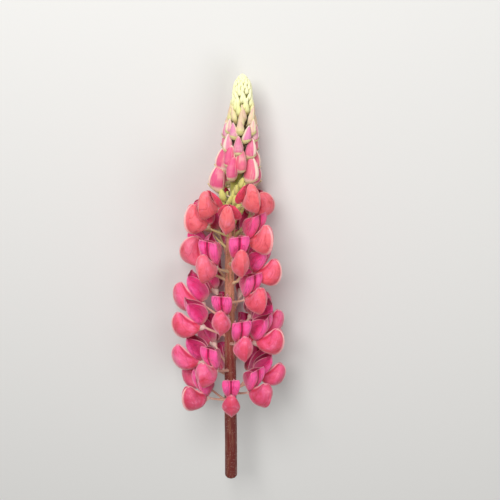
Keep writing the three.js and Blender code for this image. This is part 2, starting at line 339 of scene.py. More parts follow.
# Open florets: azimuth, height, tilt, roll, size, and how far the table bends them up. The
# front ones were fitted to the photo, and a search then moved all until no two overlapped.
floretSites = (
    (-54, 63.4, 30.4, 1, 1.02), (2.3, 66.7, 29, 0, 0.928), (44, 68.8, 28.9, 0, 1.01),
    (91.4, 70.7, 24.2, 0, 0.93), (-93, 82.1, 25.8, -1, 1.035), (-29.8, 86.3, 29.1, 0, 1.018),
    (65.5, 101.6, 28.2, 0, 1.053), (-75.9, 111, 25.2, 1.5, 1.03), (17.6, 106.2, 29.1, 0, 1.026),
    (102.8, 105.4, 25.5, 1, 0.945), (-103, 121.8, 31, 4.5, 1.055), (-8.9, 125.5, 24.8, 0, 1.031),
    (37.8, 135.2, 31.6, 0, 1.021), (64.8, 148.4, 31.6, 1, 1.01), (-92.5, 150.2, 69.6, -9, 1.03),
    (-29, 156.9, 33.6, 0, 1.053), (14.6, 162.1, 31.5, 0, 1.028), (104.3, 180.5, 69.2, 4.5, 0.85),
    (-59.2, 180.4, 48.7, 5.5, 0.965), (46.7, 171.9, 36.4, 0, 1.051), (-3.7, 187.4, 39.3, -6.5, 0.98),
    (-35.6, 193.6, 43.2, -4.5, 0.935), (26.1, 197.5, 47.3, 11.5, 0.96), (-117.8, 60.2, 29.9, 7.5, 0.97),
    (137.9, 64.9, 27.8, 5.5, 0.95), (188, 63, 27, 0, 0.97, 4.65), (155.3, 86, 30.1, 0, 0.97),
    (214.8, 86.8, 31.6, 0, 0.965), (132.4, 108.9, 33.2, 2, 0.965), (189.8, 101.4, 36.9, 0, 0.955, 4.04),
    (158.5, 121.7, 36.1, 5, 0.955, 0.2), (210.6, 125.1, 36.8, 5.5, 0.97),
    (133, 144.8, 36.5, 3.5, 0.955), (176.8, 143.4, 33.6, -5, 0.985, 13.28),
    (227.6, 149.9, 22.1, -11.5, 0.96), (154, 164.3, 43.4, -4.5, 0.925),
    (206.1, 165.8, 39, 5, 0.95, 0.24), (132.5, 177.4, 34.4, 0, 0.94),
    (183.6, 178.6, 40.9, -10.5, 0.915, 10.78), (236.1, 170.8, 38.3, -2.5, 0.925),
)
# A floret at the foot of the spike, and one at the top of the open ones. The climbs and
# lengths of the stalks come from the same fit.
old = {"height": 63, "climb": 26.5, "stalk": 15.6, "plump": 1, "lift": 29}
young = {"height": 194, "climb": 34.5, "stalk": 15.7, "plump": 0.75, "lift": 16}


def openFloret(azimuth, height, tilt, roll, size, press=0.0):
    age = min(max((height - old["height"]) / (young["height"] - old["height"]), 0), 1)
    floret = {name: mix(old[name], young[name], age) for name in old}
    floret.update(azimuth=azimuth, height=height, age=age, size=size)
    climb = math.radians(floret["climb"] + press)
    out = radiusAt(height) + floret["stalk"] * math.cos(climb)
    end = pointAt(azimuth, out, height + floret["stalk"] * math.sin(climb))
    end.x += leanAt(height) - leanAt(end.z)
    turn = math.radians(azimuth)
    rise = math.radians(tilt + press)
    radial = Vector((math.sin(turn), -math.cos(turn), 0))
    lateral = Vector((math.cos(turn), math.sin(turn), 0))
    forward = radial * math.cos(rise) + Vector((0, 0, math.sin(rise)))
    basis = Matrix((forward, lateral, forward.cross(lateral))).transposed().to_4x4()
    floret["lateral"] = lateral
    floret["frame"] = (
        Matrix.Translation(end)
        @ basis
        @ Matrix.Rotation(math.radians(roll), 4, "X")
        @ Matrix.Scale(size, 4)
    )
    return floret


florets = [openFloret(*site) for site in floretSites]


# Petal finishes. Along runs from a petal's foot to its rim. Across runs from the seam of the
# wings up to their free edge, or from the banner's crease out to its sides.

petalGloss = {"Specular IOR Level": 0.35, "Subsurface Weight": 0.12, "Subsurface Scale": 0.0012,
              "Sheen Weight": 0.5, "Sheen Roughness": 0.35, "Sheen Tint": (1, 0.72, 0.74, 1)}

wingShades = {
    "coral": pigment(234, 82, 108),
    "pink": pigment(244, 100, 150),
    "salmon": pigment(248, 120, 118),
    "red": pigment(196, 34, 62),
    # painted shade, given to the oldest florets at the foot of the spike
    "paintedShade": pigment(196, 60, 90),
    "pale": pigment(250, 146, 170),
    "rim": pigment(255, 204, 200),
    "foot": pigment(232, 170, 150),
}


def wingColours(wire):
    along, across, age, tone = (wire.mark(name) for name in marks)
    cloud = wire.noise(wire.place(), 210, 5.0, 0.62)
    veins = wire.noise(wire.vector(across * 26, along * 2.2, tone * 7), 1.0, 3.0, 0.6)
    folds = wire.folds(wire.vector(across * 3, along * 1.6, tone * 40), 0.025)
    blush = (across * 0.9 + along * 0.5 + (cloud - 0.5) * 1.6 + tone * 0.2).step(0.3, 1.1)
    colour = blush.blend(wingShades["coral"], wingShades["pink"])
    colour = (age.step(0.3, 1.0) * 0.75).blend(colour, wingShades["salmon"])
    # painted shade: the oldest florets, at the foot of the spike, are darkened
    colour = (age.step(0.14, 0.0) * 0.55).blend(colour, wingShades["paintedShade"])
    colour = (cloud.step(0.5, 0.72) * 0.5).blend(colour, wingShades["pale"])
    # painted shade: darker red on the lower part of each wing towards the seam, and on the fold lines;
    # the veins and the dark blotches of the cloud are the petal's own colour
    low = across.step(0.55, 0.1) * along.step(0.9, 0.4) * 0.5 + cloud.step(0.46, 0.3) * 0.35
    colour = (low + veins.step(0.54, 0.72) * 0.35 + folds * 0.3).blend(colour, wingShades["red"])
    # painted shade: a dark red band in the furrow under the free edge
    line = across.step(0.71, 0.78) * across.step(0.84, 0.8) * along.step(0.1, 0.4)
    colour = (line * 0.7).blend(colour, wingShades["red"])
    colour = (along.step(0.16, 0.0) * 0.8).blend(colour, wingShades["foot"])
    # painted sheen: a pale rim along the seam, only on wings seen from the side, and round the outer
    # end; the pale band along the free edge joins it
    seam = across.step(0.22, 0.11) * along.step(0.15, 0.45) * 0.75 + along.step(0.95, 1.0) * 0.4
    edge = seam + across.step(0.82, 0.9) * 0.85
    colour = edge.blend(colour, wingShades["rim"])
    relief = (veins * 0.6 + cloud * 0.5 - folds * 0.5).bump(0.6, 0.0006)
    return {"Base Color": colour, "Roughness": 0.46 + veins * 0.14, "Normal": relief}


wingSkin = newSkin("wing petal", petalGloss, wingColours)

bannerShades = {
    "magenta": pigment(240, 46, 122),
    # the lit colour of the face, a painted highlight
    "litFace": pigment(255, 96, 166),
    "crimson": pigment(136, 8, 52),
    "plum": pigment(170, 42, 92),
    "scarlet": pigment(230, 70, 86),
    "lilac": pigment(196, 112, 144),
    "foot": pigment(208, 164, 150),
    "rim": pigment(248, 176, 186),
}


def bannerColours(wire):
    along, across, age, tone = (wire.mark(name) for name in marks)
    cloud = wire.noise(wire.place(), 230, 5.0, 0.62)
    veins = wire.noise(wire.vector(across * 22, along * 2.0, tone * 7), 1.0, 3.0, 0.6)
    folds = wire.folds(wire.vector(across * 4, along * 1.6, tone * 40), 0.03)
    # painted highlight: the face beside the crease is lighter, as if lit; the cloud adds the petal's
    # own mottling
    litFace = across.step(0.02, 0.14) * across.step(0.75, 0.4) * along.step(0.1, 0.4)
    colour = (litFace + (cloud - 0.5) * 2.4).blend(bannerShades["magenta"], bannerShades["litFace"])
    colour = (age.step(0.75, 0.97) * 0.8).blend(colour, bannerShades["scarlet"])
    plum = across.step(0.5, 0.8) * along.step(0.1, 0.5) * (1 - age) * 0.7
    colour = plum.blend(colour, bannerShades["plum"])
    # painted shade: crimson in the crease, at the foot where the banner meets the wings, and at the top
    # end
    paintedShade = across.step(0.05, 0.015) * 0.85 + along.step(0.34, 0.12) * across.step(0.7, 0.2) * 0.6
    paintedShade = paintedShade + along.step(0.86, 1.0) * across.step(0.5, 0.2) * 0.4
    colour = paintedShade.blend(colour, bannerShades["crimson"])
    # painted shade on the fold lines; the veins are the petal's own colour
    colour = (veins.step(0.52, 0.7) * 0.35 + folds * 0.3).blend(colour, bannerShades["crimson"])
    pale = across.step(0.6, 0.95) * (1 - age * 0.6) * along.step(0.7, 0.25)
    colour = (pale * (0.75 + (cloud - 0.5) * 1.0)).blend(colour, bannerShades["lilac"])
    colour = (across.step(0.3, 0.9) * along.step(0.3, 0.05) * 0.8).blend(colour, bannerShades["foot"])
    edge = across.step(0.95, 0.985) * 0.7 + along.step(0.975, 0.995) * 0.3
    colour = edge.blend(colour, bannerShades["rim"])
    relief = (veins * 0.7 + cloud * 0.4 - folds * 0.5).bump(0.65, 0.0006)
    return {"Base Color": colour, "Roughness": 0.48 + veins * 0.14, "Normal": relief}


bannerSkin = newSkin("banner petal", petalGloss, bannerColours)


# Open florets. In a floret's own frame the wings point along +X, the banner stands towards +Z
# and the mouth of the calyx is at the origin.

wing = {
    "columns": 19,
    "rows": 23,
    # the seam where the wings meet, from their foot round the outer end: (share, x, z)
    "seam": ((0, 1.8, -2.1), (0.07, 2.4, -5.0), (0.15, 4.0, -7.8), (0.26, 6.8, -9.9),
             (0.38, 10.0, -10.6), (0.5, 13.4, -9.8), (0.62, 16.6, -7.6), (0.74, 19.2, -4.2),
             (0.84, 20.5, -0.6), (0.93, 20.2, 2.7), (1, 18.4, 4.8)),
    # the free upper edge, from its foot to the same point at the outer end
    "edge": ((0, 1.8, 1.8), (0.2, 4.6, 2.7), (0.45, 9.0, 2.7), (0.7, 13.2, 3.7),
             (0.88, 16.4, 4.9), (1, 18.4, 4.8)),
    "bulge": ((0, 1.8), (0.12, 3.9), (0.26, 5.6), (0.42, 6.3), (0.58, 6.1), (0.72, 5.2),
              (0.84, 3.8), (0.93, 2.3), (1, 0.0)),
    # how far a wing stands off the seam's plane, from the seam (0) to the free edge (1)
    "belly": ((0, 0.02), (0.045, 0.05), (0.11, 0.33), (0.28, 0.76), (0.44, 0.97), (0.56, 1.0),
              (0.7, 0.86), (0.82, 0.58), (0.91, 0.3), (0.96, 0.16), (1, 0.03)),
    "crest": 0.8,  # how far the free edge of an old floret arches up
    "furrow": (0.25, 0.87, 0.05),  # under the free edge: its depth, place and width
    "ripple": 0.2,
    "lean": 0.5,
    "creases": 2,
    "crease": (0.35, 0.07),  # its depth and width
    "creaseDraws": ((0.25, 0.75), (-0.35, 0.35), (0.3, 1)),  # limits of place, drift and depth
    # Only wings that are seen from their side show a pale rim along the seam, a painted sheen. The mark
    # across is held to this value on the others, with a change between these limits.
    "plain": 0.24,
    "sideways": (0.66, 0.82),
}


def wingShape(floret, rng):
    phase = rng.uniform(0, 6)
    lean = rng.uniform(-wing["lean"], wing["lean"])
    creases = []
    for _ in range(wing["creases"]):
        creases.append([rng.uniform(*limits) for limits in wing["creaseDraws"]])
    plain = wing["plain"] * (1 - ease(abs(floret["lateral"].y), *wing["sideways"]))
    furrow, furrowAt, furrowWidth = wing["furrow"]
    crease, creaseWidth = wing["crease"]

    def shape(u, v):
        side = 1 if v > 0.5 else -1
        turn = abs(2 * v - 1)
        across = (1 - math.cos(math.pi * turn)) / 2
        lowX, lowZ = through(wing["seam"], u)
        highX, highZ = through(wing["edge"], u)
        highZ += wing["crest"] * (1 - floret["age"]) * math.sin(math.pi * u)
        bulge = through(wing["bulge"], u)[0] * mix(1, floret["plump"], ease(u, 0, 0.2))
        body = ease(u, 0.02, 0.25) * ease(1 - u, 0.0, 0.2)
        out = bulge * through(wing["belly"], across)[0]
        out -= furrow * hump(across, furrowAt, furrowWidth) * body
        wave = math.sin(7 * across + 3 * u + phase + side) * math.sin(math.pi * turn)
        out += wing["ripple"] * body * wave
        for middle, drift, depth in creases:
            line = middle + drift * (u - 0.5) * side
            out -= crease * depth * hump(across, line, creaseWidth) * body
        y = side * max(out, 0.01) + lean * body * across
        point = Vector((mix(lowX, highX, across), y, mix(lowZ, highZ, across)))
        return floret["frame"] @ point, u, max(turn, plain)

    return shape


banner = {
    "columns": 28,
    "rows": 14,
    "root": (2.4, 1.1),
    # Rows from foot to rim: share, crease (up, back), half width at the fold, and rim (up,
    # back, half width), in the direction the banner stands. Folded back, and still hooded:
    "folded": ((0, 0, 0, 1.9, -0.4, 3.9, 1.2), (0.2, 3.6, -0.2, 3.6, 2.0, 8.4, 1.5),
               (0.46, 9.2, -0.1, 5.1, 7.8, 10.4, 1.8), (0.72, 14.2, 1.3, 5.8, 13.4, 8.5, 2.2),
               (0.9, 17.3, 3.6, 5.8, 16.4, 6.4, 2.8), (1, 18.9, 5.2, 5.1, 17.7, 5.6, 3.6)),
    "hooded": ((0, 0, 0, 1.2, -1.4, 0.2, 1.8), (0.22, 3, 0.1, 3.4, -0.4, 0.2, 5.2),
               (0.5, 7.2, 0.2, 4.8, 2.8, 0.4, 7.2), (0.78, 11.4, 0.5, 4.6, 6.4, 0.9, 7.0),
               (1, 14.4, 1.3, 2.6, 9.6, 1.6, 4.6)),
    "hood": (0.8, 0.95),  # ages between which one becomes the other
    # from the crease out to the rim: share, way towards the rim, parts of both half widths
    "section": ((0, 0, 0, 0), (0.14, 0, 0.42, 0), (0.29, 0.03, 0.82, 0), (0.42, 0.13, 1.0, 0.03),
                (0.56, 0.33, 0.88, 0.2), (0.78, 0.68, 0.45, 0.62), (1, 1, 0, 1)),
    # along the crease, beside it and at the rim: depth, place from the crease and width
    "groove": (0.55, 0, 0.07),
    "ridge": (0.35, 0.2, 0.12),
    "dents": ((0.3, 0, 0.12), (0.6, 0.42, 0.14)),
    "ripple": 0.35,
}


def bannerShape(floret, rng):
    phase = rng.uniform(0, 6)
    hooded = ease(floret["age"], *banner["hood"])
    lift = math.radians(floret["lift"])
    groove, *grooveAt = banner["groove"]
    ridge, *ridgeAt = banner["ridge"]

    def shape(u, v):
        side = 1 if v > 0.5 else -1
        across = abs(2 * v - 1)
        both = zip(through(banner["folded"], u), through(banner["hooded"], u))
        up, back, fold, rimUp, rimBack, rimHalf = [mix(*pair, hooded) for pair in both]
        way, inner, outer = through(banner["section"], across)
        y = fold * inner + rimHalf * outer
        shut = mix(ease(1 - u, 0, 0.12), 1, hooded)
        body = ease(u, 0.05, 0.3) * shut
        y += banner["ripple"] * body * across * across * math.sin(6 * u + 4 * across + phase * side)
        up = mix(up, rimUp, way)
        back = mix(back, rimBack, way)
        back += groove * hump(across, *grooveAt) * body * (1 - 0.5 * hooded)
        back -= ridge * hump(across, *ridgeAt) * body
        up -= sum(dent * hump(across, *at) for dent, *at in banner["dents"]) * ease(u, 0.75, 1)
        x = banner["root"][0] + up * math.cos(lift) - back * math.sin(lift)
        z = banner["root"][1] + up * math.sin(lift) + back * math.cos(lift)
        return floret["frame"] @ Vector((x, side * y, z)), u, across

    return shape


petal = {"wall": 0.00028, "seed": 100}


def makePetals(number, floret):
    rng = random.Random(petal["seed"] + number)
    tones = (floret["age"], rng.uniform(-1, 1))
    bm = newMesh()
    addGrid(bm, wing["rows"], wing["columns"], wingShape(floret, rng), tones, 0)
    addGrid(bm, banner["rows"], banner["columns"], bannerShape(floret, rng), tones, 1)
    skins = (wingSkin, bannerSkin)
    node = "floret_%02d" % number
    finishPiece("petals_%02d" % number, bm, skins, (node,), petal["wall"], 1)


for number, floret in enumerate(florets, 1):
    makePetals(number, floret)
print("petals made:", len(florets), "florets")


# Stem, stalks and calyces

stemShades = {
    # the lower stem's own reddish brown, darkened with painted shade
    "foot": pigment(106, 38, 32),
    "low": pigment(148, 58, 54),
    "middle": pigment(210, 134, 110),
    "top": pigment(150, 152, 72),
    "streak": pigment(222, 178, 138),
    "olive": pigment(128, 104, 64),
    "flesh": pigment(206, 208, 150),
}


def stemColours(wire):
    along, across = wire.mark("along"), wire.mark("across")
    streak = wire.noise(wire.place(700, 45, 700), 1.0, 4.0, 0.6)
    cloud = wire.noise(wire.place(1, 0.6, 1), 170, 4.0, 0.6)
    # darker towards the cut end: the lower stem's own reddish brown, deepened with painted shade at the
    # foot
    colour = along.step(0.1, 0.5).blend(stemShades["foot"], stemShades["low"])
    colour = along.step(0.34, 0.52).blend(colour, stemShades["middle"])
    colour = along.step(0.64, 0.72).blend(colour, stemShades["top"])
    pale = streak.step(0.45, 0.7) * (0.15 + along.step(0.3, 0.5) * 0.45)
    colour = pale.blend(colour, stemShades["streak"])
    olive = streak.step(0.5, 0.36) * along.step(0.38, 0.5) * 0.8
    colour = olive.blend(colour, stemShades["olive"])
    colour = (cloud.step(0.5, 0.68) * 0.5).blend(colour, stemShades["foot"])
    colour = across.blend(colour, stemShades["flesh"])
    relief = (streak * 0.7 + cloud * 0.3).bump(0.5, 0.0005)
    return {"Base Color": colour, "Roughness": 0.5 + streak * 0.2, "Normal": relief}


stemSkin = newSkin("stem skin", {"Specular IOR Level": 0.35}, stemColours)

stalkShades = {
    "stalk": pigment(214, 164, 144),
    "calyx": pigment(240, 208, 196),
    "green": pigment(190, 186, 108),
    "pale": pigment(250, 236, 224),
    "blush": pigment(206, 128, 120),
}


def stalkColours(wire):
    along, age = wire.mark("along"), wire.mark("age")
    cloud = wire.noise(wire.place(), 400, 3.0)
    colour = along.step(0.35, 0.6).blend(stalkShades["stalk"], stalkShades["calyx"])
    colour = (age.step(0.4, 1.0) * 0.75 + (cloud - 0.5) * 0.5).blend(colour, stalkShades["green"])
    colour = (along.step(0.7, 0.82) * 0.7).blend(colour, stalkShades["pale"])
    colour = (cloud.step(0.55, 0.7) * 0.35).blend(colour, stalkShades["blush"])
    return {"Base Color": colour, "Roughness": 0.6 + cloud * 0.1, "Normal": cloud.bump(0.3, 0.0003)}


stalkGloss = {"Specular IOR Level": 0.3, "Sheen Weight": 0.2}
stalkSkin = newSkin("stalk and calyx", stalkGloss, stalkColours)

stem = {
    "columns": 40,
    "rows": 110,
    "ribs": 9,
    "rib": 0.035,
    "twist": 0.02,  # radians that the ribs turn in a millimetre
    "waver": (0.02, 0.11),  # share of the radius, and radians in a millimetre
    "cap": 0.03,  # share of the rows that close the cut end
    "dish": 0.5,  # how far the middle of the cut end is sunk in
}


def stemShape(u, v):
    # the first rows close the cut end, and the rest climb the stem
    height = plant["stemTop"] * max(u - stem["cap"], 0) / (1 - stem["cap"])
    turn = 2 * math.pi * v
    waver, waverTurn = stem["waver"]
    wave = math.cos(turn * stem["ribs"] + stem["twist"] * height)
    radius = radiusAt(height)
    radius *= 1 + stem["rib"] * wave + waver * math.sin(waverTurn * height + turn)
    cut = min(u / stem["cap"], 1)
    height += stem["dish"] * (1 - cut * cut)
    flesh = 1 - ease(cut, 0.75, 0.95)
    return pointAt(-360 * v, radius * cut, height), height / plant["length"], flesh


stalk = {
    "columns": 12,
    "rows": 20,
    "radius": 0.7,
    "depth": 1.2,
    "drop": 0.6,
    "flare": 1.9,
    "sag": 0.9,
    "share": 0.5,  # share of the rows that the stalk takes, before the calyx
}
# Sections of a calyx: (share, x, upper reach, lower reach, half width), and back inside its lips
calyx = ((0, -1.6, 0.7, 0.7, 0.7), (0.25, -0.4, 1.8, 2.0, 1.7), (0.5, 1.4, 2.5, 2.9, 2.3),
         (0.72, 2.6, 3.3, 4.2, 3.1), (0.82, 2.6, 3.2, 4.1, 3.0), (0.9, 1.6, 2.2, 2.6, 2.1),
         (1, 0.6, 1.2, 1.4, 1.2))
# Its two lips: how far each reaches out and away from the middle, and how pointed it is
lips = {"upper": (1.6, 1.2, 2), "lower": (3.0, 2.0, 2.5)}


def stalkShape(floret):
    place = floret["frame"]
    end = place @ Vector((calyx[0][1], 0, 0))
    base = floret["height"] - stalk["drop"]
    root = pointAt(floret["azimuth"], radiusAt(floret["height"]) - stalk["depth"], base)
    middle = root.lerp(end, 0.5) - Vector((0, 0, stalk["sag"]))
    lateral = floret["lateral"]
    upperOut, upperRise, upperPoint = lips["upper"]
    lowerOut, lowerDrop, lowerPoint = lips["lower"]

    def shape(u, v):
        turn = 2 * math.pi * v
        if u < stalk["share"]:
            t = u / stalk["share"]
            centre = root * (1 - t) ** 2 + middle * 2 * t * (1 - t) + end * t * t
            ahead = (middle - root) * (1 - t) + (end - middle) * t
            upward = ahead.cross(lateral).normalized()
            flare = 1 + (stalk["flare"] - 1) * (1 - t) ** 4
            radius = stalk["radius"] * floret["size"] * flare
            return centre + radius * (math.cos(turn) * upward + math.sin(turn) * lateral), u, v
        t = (u - stalk["share"]) / (1 - stalk["share"])
        x, upper, lower, half = through(calyx, t)
        cosine = math.cos(turn)
        lip = ease(t, 0.3, 0.72) * ease(1 - t, 0.0, 0.2)
        upperLip = lip * max(cosine, 0) ** upperPoint
        lowerLip = lip * max(-cosine, 0) ** lowerPoint
        x += lowerOut * lowerLip + upperOut * upperLip
        z = cosine * (upper if cosine > 0 else lower)
        z += upperRise * upperLip - lowerDrop * lowerLip
        return place @ Vector((x, half * math.sin(turn), z)), u, v

    return shape


def makeStem():
    bm = newMesh()
    addGrid(bm, stem["rows"], stem["columns"], stemShape, (0, 0), 0)
    for floret in florets:
        addGrid(bm, stalk["rows"], stalk["columns"], stalkShape(floret), (floret["age"], 0), 1)
    finishPiece("stem_and_stalks", bm, (stemSkin, stalkSkin), ("stem",), 0, 1)


makeStem()
print("stem and stalks made")

hairShades = {
    "pale": pigment(244, 226, 214),
    "warm": pigment(232, 200, 186),
}


def hairColours(wire):
    cloud = wire.noise(wire.place(), 300)
    return {"Base Color": cloud.blend(hairShades["pale"], hairShades["warm"])}


hairSkin = newSkin("hair", {"Roughness": 0.5, "Specular IOR Level": 0.4}, hairColours)


def makeStemHairs():
    rng = random.Random(5)
    strands = hairsOn(stemShape, "stem", rng)
    for floret in florets:
        strands += hairsOn(stalkShape(floret), "stalk", rng)
    bm = newMesh()
    addHairs(bm, strands)
    finishPiece("stem_hairs", bm, (hairSkin,))
    print("stem hairs:", len(strands))


makeStemHairs()


# The spire of buds

budShades = {
    "pink": pigment(224, 92, 136),
    "salmon": pigment(234, 124, 138),
    "blush": pigment(224, 136, 174),
    "cream": pigment(250, 232, 210),
    "tip": pigment(246, 244, 196),
    "lime": pigment(230, 230, 158),
    "olive": pigment(156, 134, 72),
}

cupShades = {
    "green": pigment(158, 162, 74),
    "cream": pigment(240, 228, 176),
    "blush": pigment(214, 150, 130),
    "lime": pigment(206, 206, 108),
    # painted shade, dark brown
    "coreShade": pigment(92, 70, 40),
}


def budColours(wire):
    along, across, age, tone = (wire.mark(name) for name in marks)
    cloud = wire.noise(wire.place(), 260, 3.0)
    fine = wire.noise(wire.vector(across * 14, along * 1.6, tone * 7), 1.0, 3.0, 0.6)
    colour = (cloud * 0.8 + tone * 0.2).step(0.25, 0.75).blend(budShades["pink"], budShades["salmon"])
    colour = (age + (cloud - 0.5) * 0.3).step(0.05, 0.45).blend(colour, budShades["blush"])
    colour = (fine.step(0.5, 0.7) * 0.35).blend(colour, budShades["cream"])
    # pale cream margins: partly the pale edges of the petals, partly painted sheen, kept to where they
    # lie on the outline seen from the best side
    margin = across.step(0.2, 0.13) * 0.8 + across.step(0.4, 0.48) * across.step(0.66, 0.58) * 0.7
    margin = margin + along.step(0.85, 1.0) * 0.5
    margin = margin + across.step(0.26, 0.44) * age.step(0.1, 0.5) * 0.7
    colour = margin.blend(colour, budShades["cream"])
    colour = (along.step(0.3, 0.16) * 0.8).blend(colour, budShades["cream"])
    young = (age + tone * 0.12 + (cloud - 0.5) * 0.25).step(0.57, 0.83)
    scale = (age + (along - 0.5) * 0.25).step(0.8, 1.0).blend(budShades["lime"], budShades["tip"])
    colour = young.blend(colour, scale)
    shade = along.step(0.4, 0.1) * young * age.step(1.05, 0.85) + across.step(0.35, 0.65) * young * 0.5
    colour = shade.blend(colour, budShades["olive"])
    flush = age.step(0.85, 0.7) * along.step(0.3, 0.7) * tone.step(-0.2, 0.5) * young * 0.5
    colour = flush.blend(colour, budShades["blush"])
    relief = (cloud * 0.5 + fine * 0.5).bump(0.35, 0.0003)
    return {"Base Color": colour, "Roughness": 0.5 + cloud * 0.15, "Normal": relief}


def cupColours(wire):
    along, across, age = (wire.mark(name) for name in marks[:3])
    cloud = wire.noise(wire.place(), 420, 3.0)
    lip = (along * 1.1 + (cloud - 0.5) * 0.8).step(0.15, 0.9)
    colour = lip.blend(cupShades["green"], cupShades["cream"])
    colour = (age * (0.6 + along.step(0.3, 0.9) * 0.3)).blend(colour, cupShades["lime"])
    colour = (cloud.step(0.56, 0.7) * 0.3 * (1 - age)).blend(colour, cupShades["blush"])
    # painted shade: dark brown where the mark across is high, on the core between the lower buds and on
    # the inner sides of the small green buds
    colour = across.step(0.6, 1.0).blend(colour, cupShades["coreShade"])
    return {"Base Color": colour, "Roughness": 0.62 + cloud * 0.12, "Normal": cloud.bump(0.35, 0.0003)}


budGloss = {"Specular IOR Level": 0.3, "Sheen Weight": 0.6, "Sheen Roughness": 0.3,
            "Sheen Tint": (1, 0.93, 0.8, 1)}
budSkin = newSkin("bud", budGloss, budColours)
cupGloss = {"Specular IOR Level": 0.3, "Sheen Weight": 0.25}
cupSkin = newSkin("bud calyx", cupGloss, cupColours)

spire = {
    # the lower buds, each as (azimuth, gap), where a gap is a distance down from the tip
    "lower": ((-92, 72.5), (-18, 62), (58, 64.5), (112, 71), (162, 70), (212, 71),
              (-93, 59.5), (-37, 54.5), (15, 57), (91, 59.5), (138, 59), (182, 58), (226, 59),
              (-57, 46), (-2, 46.5), (57, 49.5), (105, 49), (153, 48), (198, 47), (246, 47.5),
              (-94, 39.5), (-27, 37), (26, 39), (86, 41), (136, 39), (180, 38), (224, 38.5),
              (-60, 35), (-1, 34), (57, 35.5), (110, 35), (158, 34.5), (203, 34.5), (252, 35)),
    # small green buds on the stem below them
    "cluster": ((22, 68), (40, 70), (6, 71), (14, 75), (46, 74), (29, 76), (-4, 78), (32, 72),
                (-64, 77), (-34, 78), (-12, 75), (10, 79), (34, 76), (60, 79), (-22, 83), (2, 84.5),
                (25, 83), (48, 85), (-46, 85), (-10, 90), (17, 90.5), (-74, 82), (78, 84), (104, 79),
                (-104, 80), (150, 78), (190, 81), (232, 79), (130, 85), (212, 87)),
    "taper": 1.62,
    "swellings": ((0.8, 5.5, 4), (0.5, 27, 8)),  # of its outline: size, gap and width
    "flare": (0.13, 45),  # how fast it widens, from this gap down
    "core": (2.2, 0.09),  # most radius at the top of the stem, and its gain above that
    # the core is darkened with painted shade between the lower buds, over these gaps
    "coreShade": (12, 24, 50, 64),  # gaps over which the core turns dark and pale again
    "bud": (2.6, 0.225),  # length of a bud at the tip, and how much it gains with the gap
}
# What changes down the spire: its value near the tip, its value further down, and the gaps
# between which one becomes the other
fades = {
    "core": (0.58, 0.45, 12, 28),  # share of the outline
    "slim": (0.8, 0, 40, 60),
    "age": (1, 0, 20, 60),
    "scaleSway": (0, 32, 6, 18),
    "scaleFat": (1.25, 0.74, 7, 20),
    "scaleStretch": (1, 1.35, 8, 24),
    "scaleAge": (1, 0.72, 14, 32),
}
# Bud scales close up to the tip, from one gap to another. Each takes up a share, crowd, of
# its length's square.
scales = {"from": 31, "to": 0.6, "crowd": 0.36, "turn": 137.5}
# Limits of the draws for the small green buds
cluster = {"out": (1.2, 3.4), "length": (6, 8.5), "sway": (-18, 18), "spread": (0.5, 3.5)}
# Rows and columns of faces
budGrids = {
    "core": (30, 20),
    "bud": (14, 14),
    "cup": (5, 14),
    "scale": (7, 8),
    "small": (8, 10),
    "smallCup": (4, 10),
}
budRoot = -0.3  # where a bud's neck starts inside the core, as a share of its length
# Sections of a bud, and of a slim one: (share of its length, outward, inward, half width)
plumpBud = ((budRoot, 0.05, 0.05, 0.05), (0.0, 0.06, 0.06, 0.06), (0.05, 0.13, 0.1, 0.1),
            (0.16, 0.27, 0.16, 0.17), (0.3, 0.35, 0.18, 0.21), (0.5, 0.34, 0.17, 0.21),
            (0.7, 0.27, 0.15, 0.175), (0.86, 0.17, 0.1, 0.12), (0.95, 0.09, 0.06, 0.06), (1, 0, 0, 0))
slimBud = ((budRoot, 0.05, 0.05, 0.05), (0.0, 0.1, 0.08, 0.1), (0.1, 0.18, 0.11, 0.18),
           (0.26, 0.26, 0.12, 0.24), (0.44, 0.24, 0.12, 0.225), (0.64, 0.17, 0.09, 0.16),
           (0.82, 0.09, 0.05, 0.085), (1, 0, 0, 0))


def fade(name, gap):
    near, far, low, high = fades[name]
    return mix(near, far, ease(gap, low, high))


def envelopeAt(gap):
    # how far the spire's outline is from its axis
    swell = sum(size * hump(gap, *at) for size, *at in spire["swellings"])
    flare, flareFrom = spire["flare"]
    return spire["taper"] * math.sqrt(max(gap, 0)) + swell + flare * max(gap - flareFrom, 0)


def coreAt(gap):
    radius, growth = spire["core"]
    above = plant["length"] - plant["stemTop"] - gap
    return min(fade("core", gap) * envelopeAt(gap), radius + growth * max(above, 0))


def lengthAt(gap):
    shortest, gain = spire["bud"]
    return shortest + gain * gap


# The pale margin of a bud, partly painted sheen along its outline. The keel is plain on buds at the
# front and back, and the flank that faces the best side has no margin: the mark across is held to these
# values there.
budMargin = {"plain": 0.22, "sideways": (0.7, 0.84), "flank": 0.38, "facing": (0.4, 0.7)}


